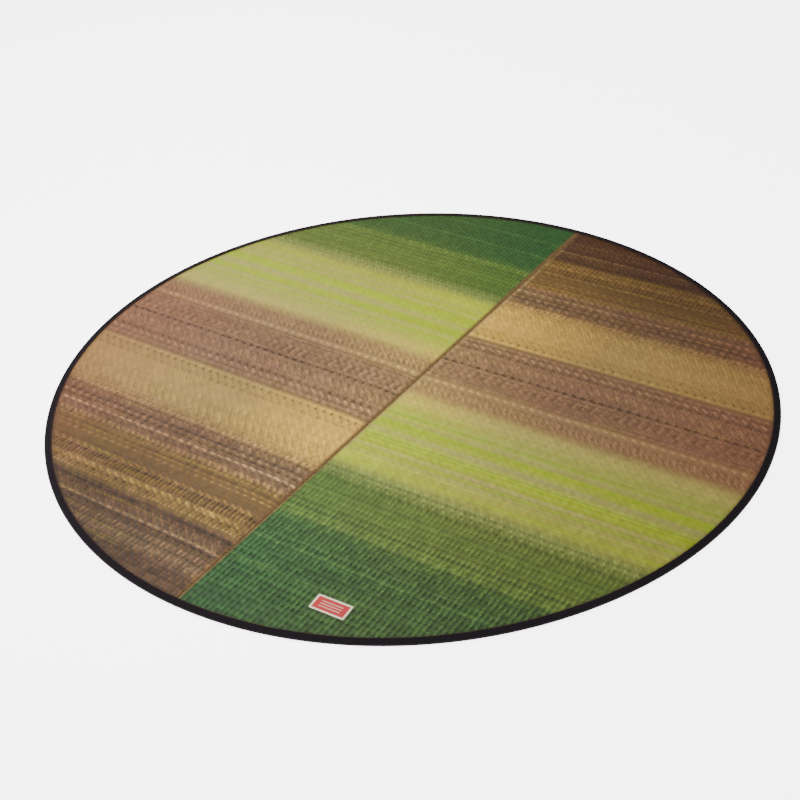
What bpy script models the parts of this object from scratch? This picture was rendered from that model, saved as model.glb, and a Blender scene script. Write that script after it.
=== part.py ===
"""A round rush rug: two woven half-discs laced edge to edge, with a cloth binding folded over the rim.

Metres, +Z up. The origin is the centre of the circle, on the surface that the rug lies on. The rushes run
along X, and the join between the two panels runs nearly along Y.
"""

import math
from typing import NamedTuple

import bmesh
import bpy
from mathutils import Matrix, Vector

MM = 0.001

# Driving dimensions
DIAMETER = 1760 * MM
RIM_HEIGHT = 8.4 * MM  # the bound edge, floor to top
PANEL_THICKNESS = 6.6 * MM
BINDING_CLOTH = 1.2 * MM  # the folded tape's own thickness
BINDING_WIDTH = 17.5 * MM  # how far the tape reaches in from the rim
CLEARANCE = 0.3 * MM  # left between two pieces that touch

# The join
SEAM_OFFSET = 9 * MM  # to the right of the centre
SEAM_TURN = math.radians(1.6)  # clockwise, seen from above
SEAM_GAP = 2.0 * MM  # between the two selvedges
SEAM_CHAMFER = 1.2 * MM  # the selvedges' rounded shoulders
THREAD_WIDTH = SEAM_GAP - 2 * CLEARANCE
THREAD_BOTTOM = 1.8 * MM  # clear of the tape under the rim
THREAD_TOP = 5.4 * MM
THREAD_END_INSET = 5 * MM  # the lacing stops this far inside the rim

# The label sewn on the right panel
LABEL_SIZE = Vector((81 * MM, 41 * MM, 0.8 * MM))
LABEL_CENTRE = Vector((270 * MM, -732 * MM))
LABEL_TURN = math.radians(2.0)
LABEL_CORNER = 1.5 * MM

STATIONS = 160  # round the rim, an even number
ROUND_STEPS = 6  # across the binding's rounded edge

RADIUS = DIAMETER / 2
ROUND_RADIUS = RIM_HEIGHT / 2
MID_HEIGHT = RIM_HEIGHT / 2
CAVITY_RADIUS = ROUND_RADIUS - BINDING_CLOTH
EDGE_RADIUS = CAVITY_RADIUS - CLEARANCE
PRESSED_INSET = BINDING_WIDTH + 1.5 * MM  # where the pressed edge begins
FLAT_INSET = PRESSED_INSET + 4 * MM  # where the panel is at its full thickness


class Dip(NamedTuple):
    """A stretch of rim that lies inside the true circle, or outside it where the depth is negative."""

    centre_deg: float
    spread_deg: float
    depth: float


RIM_DIPS = (
    Dip(centre_deg=-30, spread_deg=30, depth=17 * MM),
    Dip(centre_deg=-106, spread_deg=17, depth=-3 * MM),
)


class Finish(NamedTuple):
    """Plain values for one material."""

    colour: tuple
    roughness: float


FINISHES = {
    "rush_left": Finish((0.36, 0.29, 0.12), 0.62),
    "rush_right": Finish((0.32, 0.27, 0.11), 0.62),
    "binding_cloth": Finish((0.022, 0.018, 0.040), 0.85),
    "join_cotton": Finish((0.10, 0.07, 0.03), 0.80),
    "label_cloth": Finish((0.80, 0.72, 0.60), 0.75),
}


def clear_scene():
    for item in list(bpy.context.scene.objects):
        bpy.data.objects.remove(item, do_unlink=True)


def material(name):
    finish = FINISHES[name]
    made = bpy.data.materials.new(name)
    made.use_nodes = True
    shader = made.node_tree.nodes["Principled BSDF"]
    shader.inputs["Base Color"].default_value = (*finish.colour, 1)
    shader.inputs["Roughness"].default_value = finish.roughness
    shader.inputs["Metallic"].default_value = 0
    return made


def rim_radius(angle):
    """Distance from the centre to the rim, with the dips taken off."""
    radius = RADIUS
    for dip in RIM_DIPS:
        away = (math.degrees(angle) - dip.centre_deg + 180) % 360 - 180
        radius -= dip.depth * math.exp(-0.5 * (away / dip.spread_deg) ** 2)
    return radius


def at_rim(station, inset, height):
    """The point this far in from the rim at one station."""
    angle = 2 * math.pi * station / STATIONS
    reach = rim_radius(angle) - inset
    return Vector((reach * math.cos(angle), reach * math.sin(angle), height))


def round_edge(radius, clockwise=False):
    """Half a circle, bulging out to the rim, as (inset, height) from its lower end to its upper end."""
    turns = [math.pi * step / ROUND_STEPS for step in range(ROUND_STEPS + 1)]
    points = [(ROUND_RADIUS - radius * math.sin(t), MID_HEIGHT - radius * math.cos(t)) for t in turns]
    return points[::-1] if clockwise else points


def sweep(mesh, section, closed):
    """Carries a section of (inset, height) points all the way round the rim."""
    rows = [[mesh.verts.new(at_rim(s, *point)) for s in range(STATIONS)] for point in section]
    pairs = list(zip(rows, rows[1:]))
    if closed:
        pairs.append((rows[-1], rows[0]))
    for low, high in pairs:
        for s in range(STATIONS):
            after = (s + 1) % STATIONS
            mesh.faces.new((low[s], low[after], high[after], high[s]))
    if not closed:
        mesh.faces.new(rows[0][::-1])
        mesh.faces.new(rows[-1])


def finish_object(name, mesh, material_name, sharp_deg=40):
    """Turns the working mesh into a named object with its own material."""
    bmesh.ops.recalc_face_normals(mesh, faces=mesh.faces)
    data = bpy.data.meshes.new(name)
    mesh.to_mesh(data)
    mesh.free()
    data.materials.append(material(material_name))
    data.shade_smooth()
    data.set_sharp_from_angle(angle=math.radians(sharp_deg))
    made = bpy.data.objects.new(name, data)
    bpy.context.scene.collection.objects.link(made)
    return made


def keep_behind(mesh, point, normal):
    """Cuts the mesh with a plane, drops what lies in front of it and closes the cut."""
    everything = mesh.verts[:] + mesh.edges[:] + mesh.faces[:]
    cut = bmesh.ops.bisect_plane(mesh, geom=everything, plane_co=point, plane_no=normal, clear_outer=True)
    rim = [part for part in cut["geom_cut"] if isinstance(part, bmesh.types.BMEdge)]
    bmesh.ops.edgeloop_fill(mesh, edges=rim)


def seam_across():
    """The level direction square to the join, towards the right panel."""
    return Vector((math.cos(SEAM_TURN), -math.sin(SEAM_TURN), 0))


def seam_along():
    return Vector((math.sin(SEAM_TURN), math.cos(SEAM_TURN), 0))


def rush_panel(name, side, material_name):
    """One woven half-disc. side is -1 for the left panel and 1 for the right one.

    Its middle lies on the floor at full thickness. Its round edge is pressed thinner and lifted a little,
    where the binding passes under it. Its straight edge is the selvedge, with chamfered shoulders.
    """
    pressed_low = MID_HEIGHT - EDGE_RADIUS
    pressed_high = MID_HEIGHT + EDGE_RADIUS
    section = [
        (FLAT_INSET, 0),
        (PRESSED_INSET, pressed_low),
        *round_edge(EDGE_RADIUS),
        (PRESSED_INSET, pressed_high),
        (FLAT_INSET, PANEL_THICKNESS),
    ]
    mesh = bmesh.new()
    sweep(mesh, section, closed=False)
    outward = seam_across() * -side
    selvedge = Vector((SEAM_OFFSET, 0, 0)) - outward * (SEAM_GAP / 2)
    keep_behind(mesh, selvedge, outward)
    for height, up in ((PANEL_THICKNESS, 1), (0, -1)):
        shoulder = selvedge + Vector((0, 0, height - up * SEAM_CHAMFER))
        keep_behind(mesh, shoulder, (outward + Vector((0, 0, up))).normalized())
    return finish_object(name, mesh, material_name)


def binding():
    """One tape folded over the rim: a C in section, closed into a ring."""
    section = [
        (BINDING_WIDTH, 0),
        *round_edge(ROUND_RADIUS),
        (BINDING_WIDTH, RIM_HEIGHT),
        (BINDING_WIDTH, RIM_HEIGHT - BINDING_CLOTH),
        *round_edge(CAVITY_RADIUS, clockwise=True),
        (BINDING_WIDTH, BINDING_CLOTH),
    ]
    mesh = bmesh.new()
    sweep(mesh, section, closed=True)
    return finish_object("binding", mesh, "binding_cloth")


def join_thread():
    """The lacing between the two selvedges, as the slim bar that it fills."""
    half = THREAD_WIDTH / 2
    section = (
        (-half, THREAD_BOTTOM + half),
        (0, THREAD_BOTTOM),
        (half, THREAD_BOTTOM + half),
        (half, THREAD_TOP - half),
        (0, THREAD_TOP),
        (-half, THREAD_TOP - half),
    )
    mesh = bmesh.new()
    ends = []
    for direction in (-1, 1):
        towards = seam_along() * direction
        reach = rim_radius(math.atan2(towards.y, towards.x)) - THREAD_END_INSET
        foot = Vector((SEAM_OFFSET, 0, 0)) + towards * reach
        ends.append([mesh.verts.new(foot + seam_across() * x + Vector((0, 0, z))) for x, z in section])
    near, far = ends
    for i in range(len(section)):
        after = (i + 1) % len(section)
        mesh.faces.new((near[i], near[after], far[after], far[i]))
    mesh.faces.new(near)
    mesh.faces.new(far[::-1])
    return finish_object("join_thread", mesh, "join_cotton")


def label():
    """A small cloth label lying on the right panel, with eased corners."""
    mesh = bmesh.new()
    bmesh.ops.create_cube(mesh, size=1)
    bmesh.ops.scale(mesh, vec=LABEL_SIZE, verts=mesh.verts)
    uprights = [e for e in mesh.edges if abs((e.verts[0].co - e.verts[1].co).z) > LABEL_SIZE.z / 2]
    bmesh.ops.bevel(mesh, geom=uprights, offset=LABEL_CORNER, segments=3, affect="EDGES", profile=0.5)
    height = PANEL_THICKNESS + CLEARANCE + LABEL_SIZE.z / 2
    place = Matrix.Translation((*LABEL_CENTRE, height)) @ Matrix.Rotation(LABEL_TURN, 4, "Z")
    bmesh.ops.transform(mesh, matrix=place, verts=mesh.verts)
    return finish_object("label", mesh, "label_cloth")


clear_scene()
rush_panel("panel_left", -1, "rush_left")
rush_panel("panel_right", 1, "rush_right")
join_thread()
binding()
label()
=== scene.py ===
"""The looks of a round rush rug: woven rush panels, folded binding, laced join and a small label.

Metres, +Z up. X runs with the rushes and Y nearly with the join. Each panel has its own cloth coordinates:
"out" is the distance from the join along the rushes, and "along" is the distance up the cloth, from its
brown end (negative) to its green end (positive).
"""
import math
from typing import NamedTuple

import bmesh
import bpy
import numpy as np
from mathutils import Matrix, Vector


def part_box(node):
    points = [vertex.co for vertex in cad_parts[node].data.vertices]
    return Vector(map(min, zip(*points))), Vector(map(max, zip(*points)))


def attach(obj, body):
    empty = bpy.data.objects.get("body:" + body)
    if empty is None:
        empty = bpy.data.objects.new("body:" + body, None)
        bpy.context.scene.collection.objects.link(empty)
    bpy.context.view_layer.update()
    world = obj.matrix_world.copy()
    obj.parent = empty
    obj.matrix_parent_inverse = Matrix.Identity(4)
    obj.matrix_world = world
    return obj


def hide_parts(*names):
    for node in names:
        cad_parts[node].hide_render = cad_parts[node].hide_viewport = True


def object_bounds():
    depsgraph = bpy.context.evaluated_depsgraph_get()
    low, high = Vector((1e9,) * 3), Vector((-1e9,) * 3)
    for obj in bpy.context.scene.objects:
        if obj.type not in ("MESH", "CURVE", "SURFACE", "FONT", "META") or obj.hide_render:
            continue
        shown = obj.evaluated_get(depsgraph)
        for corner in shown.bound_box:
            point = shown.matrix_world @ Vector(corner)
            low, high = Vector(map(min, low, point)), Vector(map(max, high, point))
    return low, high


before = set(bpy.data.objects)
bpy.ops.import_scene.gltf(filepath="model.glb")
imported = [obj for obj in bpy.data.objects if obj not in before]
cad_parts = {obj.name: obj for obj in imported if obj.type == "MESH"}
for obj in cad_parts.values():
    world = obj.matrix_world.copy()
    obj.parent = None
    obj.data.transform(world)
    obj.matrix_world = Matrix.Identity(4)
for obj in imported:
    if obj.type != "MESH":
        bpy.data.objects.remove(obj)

MM = 0.001
FULL_TURN = 2 * math.pi
CAD_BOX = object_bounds()


# ---- sizes

WARP_PITCH = 11.7 * MM  # between two warp lines, measured along the rushes
FIGURE_PITCH = 2 * WARP_PITCH  # most raised figures skip every other warp
STRAND = 2.1 * MM  # one flattened rush
TWILL_RISE = 21 * MM  # how far along the cloth the slant climbs in two warp pitches
GRID_ROW = 18 * MM  # between the green cloth's rows of pits
COLUMN_STEPS = 3  # mesh columns in a warp pitch
ROW_STEP = 3.75 * MM  # between two mesh rows

PANEL_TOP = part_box("panel_left")[1].z - 0.3 * MM  # the open cloth, lower than its pressed edge
EDGE_INSET = 1.8 * MM  # the panel's hidden edge, inside the folded tape
TAPE_WIDTH = 17.5 * MM  # as it shows from above
PRESSED_INSET = 19.0 * MM  # the cloth is pressed thin from the rim to here
FLAT_INSET = 23.0 * MM  # and stands at its full height from here in
PRESSED_LOW, PRESSED_HIGH = 1.5 * MM, 6.85 * MM  # its underside and its top where it is pressed

RUSH_SLOPE = {-1: -0.0133, 1: 0.0127}  # each panel's rushes lie slightly off square
JOIN_DRAW = {-1: 7 * MM, 1: 0.0}  # how far the lacing has drawn the rushes' ends down the join
DRAW_REACH = 28 * MM  # out from the join, where about a third of that is left

# The right panel is the same cloth turned half round. Its chart starts this much further along at the
# middle, and its two ends are beaten up a little closer.
CHART_SHIFT = 71 * MM
CLOSER_BROWN = (-53 * MM, 0.065)  # from here towards the brown end, and by this share
CLOSER_GREEN = (167 * MM, 0.036, 8 * MM)  # the same towards the green end, and at most this much in all


# ---- dyes and the chart of the cloth

def dye(code):
    """A dyed rush's colour as linear red, green and blue, from its usual six-figure code."""
    parts = [int(code[i : i + 2], 16) / 255 for i in (0, 2, 4)]
    return tuple(c / 12.92 if c <= 0.04045 else ((c + 0.055) / 1.055) ** 2.4 for c in parts)


class Dye(NamedTuple):
    """One dyed rush: its colour beside the join, and further out, where the rushes' root ends are duller,
    with painted shade for the light falling off away from the join.
    """

    inner: str
    outer: str


DYES = {
    "bark": Dye("573f2b", "4a3421"),
    "light bark": Dye("72593d", "5e4830"),
    "gold": Dye("846830", "71562b"),
    "umber": Dye("74582d", "644925"),
    "ochre": Dye("87653e", "6f5035"),
    "cocoa": Dye("7d6040", "6d4e35"),
    "tan": Dye("d9ad4a", "a58547"),
    "mauve": Dye("95734b", "815f44"),
    "sand": Dye("a8864d", "8c6b47"),
    "straw": Dye("d3bd4e", "baac55"),
    "pale lime": Dye("b6c232", "abae4c"),
    "pale green": Dye("c1c92f", "afaf3f"),
    "young green": Dye("7e8e43", "8b9347"),
    "leaf": Dye("516c2a", "62732e"),
    "moss": Dye("395d29", "45612a"),
    "deep green": Dye("30592a", "3e5d2a"),
}


class Band(NamedTuple):
    """The cloth at one place along it: its dye, and how strongly each weave shows there."""

    along_mm: float
    dye_name: str
    twill: float  # slanting lights and darks, with painted shade in the hollows
    grid: float  # upright lights with painted shade in the pits between


CHART = (
    Band(-870, "bark", 0.6, 0.3),
    Band(-808, "bark", 0.6, 0.3),
    Band(-780, "light bark", 0.5, 0.4),
    Band(-735, "bark", 0.3, 0.3),
    Band(-722, "light bark", 0.8, 0.0),
    Band(-694, "bark", 0.8, 0.0),
    Band(-672, "bark", 0.8, 0.0),
    Band(-663, "gold", 0.3, 0.4),
    Band(-628, "gold", 0.7, 0.2),
    Band(-614, "umber", 0.2, 0.8),
    Band(-588, "umber", 0.5, 0.4),
    Band(-578, "umber", 0.2, 0.1),
    Band(-525, "umber", 0.3, 0.1),
    Band(-508, "gold", 0.6, 0.2),
    Band(-490, "ochre", 0.9, 0.0),
    Band(-478, "cocoa", 0.9, 0.0),
    Band(-406, "cocoa", 0.8, 0.2),
    Band(-350, "tan", 0.6, 0.0),
    Band(-290, "tan", 0.4, 0.0),
    Band(-192, "tan", 0.4, 0.0),
    Band(-185, "sand", 0.2, 0.0),
    Band(-174, "mauve", 0.7, 0.1),
    Band(14, "mauve", 0.8, 0.1),
    Band(31, "sand", 0.3, 0.0),
    Band(50, "sand", 0.1, 0.0),
    Band(60, "sand", 0.7, 0.0),
    Band(90, "sand", 0.5, 0.0),
    Band(136, "straw", 0.3, 0.0),
    Band(186, "pale lime", 0.2, 0.0),
    Band(326, "pale lime", 0.28, 0.0),
    Band(386, "pale green", 0.3, 0.0),
    Band(423, "young green", 0.5, 0.1),
    Band(465, "leaf", 0.4, 0.6),
    Band(555, "leaf", 0.1, 1.0),
    Band(620, "moss", 0.1, 1.0),
    Band(700, "deep green", 0.1, 1.0),
    Band(870, "deep green", 0.2, 0.9),
)
CHART_LOW, CHART_HIGH = -870 * MM, 870 * MM
OUTWARD_FADE = (0.05, 0.34)  # metres from the join over which the inner colour turns to the outer


class Stripe(NamedTuple):
    """A narrow stripe of another dye laid into the cloth."""

    along_mm: float
    half_mm: float
    dye_code: str
    strength: float


STRIPES = (
    Stripe(-185, 5, "7f6a3e", 0.35),
    Stripe(40, 12, "c4a468", 0.12),
    Stripe(170, 4, "b4c420", 0.3),
    Stripe(198, 7, "a0bc08", 0.5),
    Stripe(216, 7, "bcae60", 0.35),
    Stripe(231, 5, "a4bc00", 0.9),
    Stripe(240, 7, "a8bc00", 1.0),
    Stripe(252, 5, "a8bc08", 0.7),
    Stripe(266, 9, "bcac6c", 0.42),
    Stripe(278, 3, "b0b838", 0.5),
    Stripe(290, 6, "a8c000", 0.9),
    Stripe(302, 8, "acc000", 1.0),
    Stripe(315, 5, "a8b800", 0.9),
    Stripe(327, 7, "bcac60", 0.4),
    Stripe(341, 4, "a4bc08", 0.6),
    Stripe(356, 8, "bcb060", 0.28),
    Stripe(388, 7, "a4bc10", 0.5),
    Stripe(520, 24, "5f7c30", 0.35),
    Stripe(590, 12, "80983a", 0.32),
    Stripe(606, 6, "668038", 0.3),
    Stripe(692, 6, "527636", 0.4),
    Stripe(770, 5, "527636", 0.35),
)

# Lighter and darker courses all along the rushes: turning points as (millimetres along the cloth, stops).
COURSES = (
    (-830, 0.0), (-808, -0.15), (-796, 0.08), (-791, -0.08), (-779, 0.08), (-767, -0.15), (-756, 0.19),
    (-745, -0.08), (-739, 0.04), (-732, -0.22), (-723, 0.22), (-711, -0.19), (-700, 0.08), (-694, 0.0),
    (-689, 0.04), (-681, -0.19), (-671, 0.04), (-666, -0.08), (-656, 0.04), (-645, -0.04), (-631, 0.15),
    (-610, 0.0), (-600, -0.19), (-586, 0.19), (-575, -0.22), (-560, 0.0), (-553, -0.11), (-544, 0.19),
    (-537, -0.11), (-530, 0.11), (-522, -0.17), (-512, 0.07), (-506, -0.04), (-491, 0.06), (-471, -0.06),
    (-463, 0.26), (-453, 0.0), (-443, -0.16), (-435, 0.1), (-427, -0.16), (-417, 0.03), (-407, 0.03),
    (-401, -0.1), (-388, 0.1), (-378, -0.05), (-340, 0.0), (-311, -0.07), (-302, 0.05), (-251, 0.05),
    (-232, -0.1), (-216, 0.0), (-206, -0.15), (-197, 0.12), (-183, -0.35), (-173, 0.15), (-163, -0.15),
    (-152, 0.15), (-138, -0.3), (-120, 0.05), (-112, 0.0), (-101, 0.15), (-88, 0.0), (-70, 0.0),
    (-60, -0.25), (-49, 0.1), (-35, 0.0), (5, -0.1), (18, 0.05), (27, -0.12), (35, 0.1), (46, 0.12),
    (58, -0.08), (65, 0.0), (79, 0.06), (88, -0.05), (101, 0.05), (120, 0.0), (400, 0.0), (428, -0.1),
    (440, 0.05), (464, -0.22), (478, 0.15), (496, -0.15), (508, 0.1), (516, -0.06), (527, 0.08),
    (554, -0.1), (569, 0.08), (580, -0.12), (590, 0.1), (604, 0.05), (615, -0.15), (625, 0.19),
    (635, -0.25), (645, 0.15), (653, -0.19), (664, 0.04), (669, -0.03), (678, 0.19), (685, -0.22),
    (695, 0.22), (707, -0.12), (714, 0.1), (721, -0.15), (735, 0.0), (760, -0.06), (770, 0.15), (782, -0.1),
    (795, 0.12), (808, -0.1), (830, 0.0),
)


class Depth(NamedTuple):
    """How strongly a panel's lights and darks show, from its bark end to its deep green end."""

    bark: float
    brown: float
    outward: float  # share left of those two out at the rim
    lime: float
    green: float
    deep_green: float


DEPTHS = {-1: Depth(1.5, 1.15, 0.78, 0.75, 0.46, 0.5), 1: Depth(0.8, 0.9, 0.82, 1.15, 0.6, 1.05)}
OUTWARD_DEPTH = (60 * MM, 400 * MM)  # out from the join: where the outward share starts, and is reached
# Where each depth gives way to the next, along the cloth.
BARK_TO_BROWN = (-470 * MM, -400 * MM)
BROWN_TO_LIME = (90 * MM, 150 * MM)
LIME_TO_GREEN = (400 * MM, 480 * MM)
GREEN_TO_DEEP = (540 * MM, 610 * MM)


class Figure(NamedTuple):
    """One row of raised figures, or several in (first, last, step). Sizes in millimetres."""

    at: float | tuple  # along the cloth
    pitch: float  # from figure to figure, in warps
    stagger: float  # each next row moves by this share of the pitch
    length: float  # along the rushes
    height: float  # across them
    tilt: float  # degrees, rising outwards
    shade: float  # how much lighter in stops, or darker where negative: the dark ones are painted shade standing for pits
    lift: float


FIGURES = (
    Figure((-830, -816, 14), 2, 0.5, 12, 7, 30, 0.3, 0.5),
    Figure(-796, 2, 0, 12, 6, 20, 0.4, 0.5),
    Figure(-779, 1.333, 0.5, 10, 10, 40, 0.5, 0.6),
    Figure(-767, 1.333, 0, 10, 6, 10, -0.4, 0.3),
    Figure(-756, 1.333, 0, 7, 17, 6, 0.6, 0.7),
    Figure(-741, 2, 0.5, 16, 6, 35, 0.25, 0.4),
    Figure(-732, 2, 0.5, 18, 6, 15, -0.6, 0.3),
    Figure(-723, 2, 0, 18, 8, 8, 0.8, 0.9),
    Figure((-710, -693, 17), 1, 0.5, 25, 4.5, 52, 0.35, 0.4),
    Figure(-701, 1.5, 0, 7, 10, 20, 0.3, 0.5),
    Figure(-682, 2, 0, 18, 6, 0, -0.42, 0.3),
    Figure(-672, 2, 0.5, 16, 5, 20, 0.25, 0.4),
    Figure(-655, 1, 0, 6.5, 12, 8, 0.6, 0.6),
    Figure(-641, 2, 0.5, 15, 6.5, 45, -0.6, 0.3),
    Figure(-631, 2, 0, 28, 6.5, 34, 0.65, 0.8),
    Figure(-607, 1, 0, 5.5, 22, 6, 0.32, 0.6),
    Figure(-606, 1, 0.5, 4.5, 18, 6, -0.2, 0.3),
    Figure(-593, 2, 0.5, 13, 6.5, 58, -0.5, 0.3),
    Figure(-585, 2, 0, 26, 7, 32, 0.5, 0.8),
    Figure((-565, -551, 14), 2, 0.5, 18, 3.5, 22, 0.3, 0.15),
    Figure(-544, 2, 0, 13, 8, 10, 0.6, 0.7),
    Figure(-530, 2, 0.5, 14, 6, 12, 0.35, 0.5),
    Figure(-521, 2, 0, 18, 6, 20, -0.3, 0.3),
    Figure(-511, 1.333, 0, 11, 7, 40, 0.35, 0.5),
    Figure(-502, 1.333, 0.5, 13, 5.5, 58, -0.4, 0.3),
    Figure(-494, 1.333, 0, 18, 7, 56, 0.5, 0.7),
    Figure(-481, 2, 0, 18, 6, 30, -0.35, 0.3),
    Figure(-471, 2, 0.5, 18, 6, 30, -0.4, 0.3),
    Figure(-463, 2, 0, 19, 9, 18, 0.85, 0.9),
    Figure(-444, 2, 0.5, 18, 8, 8, -0.75, 0.3),
    Figure(-435, 2, 0, 16, 6.5, 22, 0.6, 0.6),
    Figure(-426, 2, 0.5, 15, 10, 15, -0.85, 0.3),
    Figure(-411, 2, 0, 22, 7, 50, 0.45, 0.6),
    Figure(-401, 2, 0.5, 13, 7, 40, -0.5, 0.3),
    Figure(-388, 1.333, 0, 9, 15, 25, 0.6, 0.5),
    Figure((-378, -303, 15), 2, 0.4, 18, 6, 50, 0.28, 0.5),
    Figure((-367, -307, 15), 2, 0.4, 15, 5, 50, -0.3, 0.3),
    Figure((-285, -240, 15), 2, 0.4, 16, 6, 50, 0.24, 0.5),
    Figure((-232, -218, 14), 2, 0.5, 14, 6, 48, -0.4, 0.3),
    Figure(-206, 2, 0.5, 14, 8, 48, -0.75, 0.3),
    Figure(-197, 2, 0, 14, 5, 20, 0.45, 0.4),
    Figure(-181, 2, 0, 16, 7, 25, -0.4, 0.3),
    Figure(-172, 2, 0.5, 16, 6, 30, 0.32, 0.5),
    Figure(-163, 2, 0, 16, 7, 22, -0.5, 0.3),
    Figure(-151, 2, 0.5, 25, 8, 40, 0.55, 0.7),
    Figure(-138, 2, 0, 22, 10, 45, -0.7, 0.3),
    Figure((-124, -76, 16), 2, 0.4, 22, 6, 44, 0.36, 0.5),
    Figure((-116, -84, 16), 2, 0.4, 18, 5, 44, -0.32, 0.3),
    Figure(-60, 2, 0, 18, 9, 24, -1.45, 0.3),
    Figure(-28, 2, 0, 8, 36, 8, 0.3, 0.6),
    Figure(-24, 2, 0.5, 8, 17, 15, -0.55, 0.3),
    Figure(-41, 2, 0.55, 9, 11, 25, -0.5, 0.3),
    Figure((6, 18, 12), 2, 0.5, 16, 6, 40, 0.42, 0.4),
    Figure(12, 2, 0.25, 15, 5, 40, -0.4, 0.3),
    Figure(27, 2, 0, 17, 5, 0, -0.55, 0.3),
    Figure(40, 2, 0.5, 15, 8, 20, 0.7, 0.5),
    Figure((66, 82, 16), 1.333, 0.4, 24, 6, 54, 0.4, 0.5),
    Figure((60, 76, 16), 1.333, 0.9, 20, 5, 54, -0.45, 0.3),
    Figure((100, 130, 15), 2, 0.4, 14, 5, 50, 0.15, 0.3),
    Figure(405, 2, 0, 14, 6, 50, 0.08, 0.4),
    Figure((420, 465, 15), 2, 0.4, 13, 6.5, 45, 0.5, 0.5),
    Figure((427, 457, 15), 2, 0.9, 12, 6, 45, -0.45, 0.3),
    Figure(478, 1, 0, 7, 10, 12, 0.45, 0.5),
    Figure((508, 568, 20), 1, 0.5, 7, 10, 10, 0.45, 0.5),
    Figure(590, 2, 0, 9, 15, 8, 0.5, 0.8),
    Figure(606, 2, 0.5, 7, 12, 8, 0.4, 0.6),
    Figure((625, 714, 17.8), 1, 0.5, 7, 8, 8, 0.6, 0.6),
    Figure((732, 786, 18), 1, 0.5, 7, 8, 10, 0.5, 0.6),
    Figure((804, 840, 18), 1, 0, 7, 8, 10, 0.5, 0.6),
)
PITCH_JITTER = 0.03  # of the pitch: hand-laid rushes don't repeat exactly
ROW_JITTER = 0.25 * MM
SIZE_JITTER = 0.09  # of a figure's sizes and shade
TURN_JITTER = 0.05  # radians


# ---- what the frame gives

def node_points(name):
    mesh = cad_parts[name].data
    points = np.empty(len(mesh.vertices) * 3)
    mesh.vertices.foreach_get("co", points)
    return points.reshape(-1, 3)


def read_rim():
    """The rim's radius at each of the binding's stations, from its outermost points."""
    points = node_points("binding")
    middle = (points[:, 2].min() + points[:, 2].max()) / 2
    outermost = points[np.abs(points[:, 2] - middle) < 0.4 * MM]
    reach = np.hypot(outermost[:, 0], outermost[:, 1])
    turn = np.arctan2(outermost[:, 1], outermost[:, 0])
    bins = {}
    for angle, radius in zip(turn.round(4), reach):
        bins[angle] = max(radius, bins.get(angle, 0))
    angles = np.array(sorted(bins))
    return angles, np.array([bins[angle] for angle in angles])


RIM_ANGLES, RIM_RADII = read_rim()


def rim_radius(angle):
    return np.interp(angle, RIM_ANGLES, RIM_RADII, period=FULL_TURN)


def read_join():
    """A point on the join beside the centre, and the direction it runs in."""
    points = node_points("join_thread")
    near = points[points[:, 1] < 0].mean(0)
    far = points[points[:, 1] > 0].mean(0)
    run = (far - near)[:2] / np.linalg.norm((far - near)[:2])
    foot = near[:2] - run * near[1] / run[1]
    return foot, run


JOIN_FOOT, JOIN_RUN = read_join()
JOIN_ACROSS = np.array([JOIN_RUN[1], -JOIN_RUN[0]])
SELVEDGE_AWAY = 1.0 * MM  # from the middle of the join to either panel's edge


def rush_way(side):
    """The level direction of a panel's rushes, pointing away from the join."""
    slope = RUSH_SLOPE[side]
    return side * np.array([1, slope]) / math.hypot(1, slope)


def cloth_point(side, out, run):
    """Plan positions from cloth coordinates. run is the distance up the join itself."""
    out, run = np.broadcast_arrays(out, run)
    start = JOIN_FOOT + side * SELVEDGE_AWAY * JOIN_ACROSS
    return start + run[..., None] * JOIN_RUN + out[..., None] * rush_way(side)


def inset_at(points):
    """How far in from the rim each plan position lies."""
    angle = np.arctan2(points[..., 1], points[..., 0])
    return rim_radius(angle) - np.hypot(points[..., 0], points[..., 1])


def drawn(side, out):
    return JOIN_DRAW[side] * np.exp(-np.asarray(out) / DRAW_REACH)


def turned_chart(run):
    """The right panel's place on the chart, from the distance up the join."""
    back = -run
    brown = np.maximum(0, CLOSER_BROWN[0] - back) * CLOSER_BROWN[1]
    green = np.minimum(CLOSER_GREEN[2], np.maximum(0, back - CLOSER_GREEN[0]) * CLOSER_GREEN[1])
    return back + CHART_SHIFT - brown - green


def along_from_run(side, run, out):
    """The chart's own measure, from the distance up the join and out from it."""
    run = run + drawn(side, out)
    return run if side < 0 else turned_chart(run)


TURNED_RUNS = np.linspace(0.95, -0.95, 400)


def run_from_along(side, along, out):
    run = along if side < 0 else np.interp(along, turned_chart(TURNED_RUNS), TURNED_RUNS)
    return run - drawn(side, out)


def reach_out(side, run, inset):
    """How far out each rush reaches before it is this far inside the rim."""
    low, high = np.zeros_like(run), np.full_like(run, 1.0)
    for _ in range(40):
        middle = (low + high) / 2
        inside = inset_at(cloth_point(side, middle, run)) > inset
        low, high = np.where(inside, middle, low), np.where(inside, high, middle)
    return low


def run_limits(side, inset):
    """The two ends of a selvedge, this far inside the rim."""
    ends = []
    for sign in (-1, 1):
        low, high = 0.0, sign * 1.0
        for _ in range(50):
            middle = (low + high) / 2
            inside = inset_at(cloth_point(side, np.array(0.0), np.array(middle))) > inset
            low, high = (middle, high) if inside else (low, middle)
        ends.append(low)
    return ends


def smooth_step(value, low, high):
    share = np.clip((value - low) / (high - low), 0, 1)
    return share * share * (3 - 2 * share)


# ---- node helpers

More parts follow.
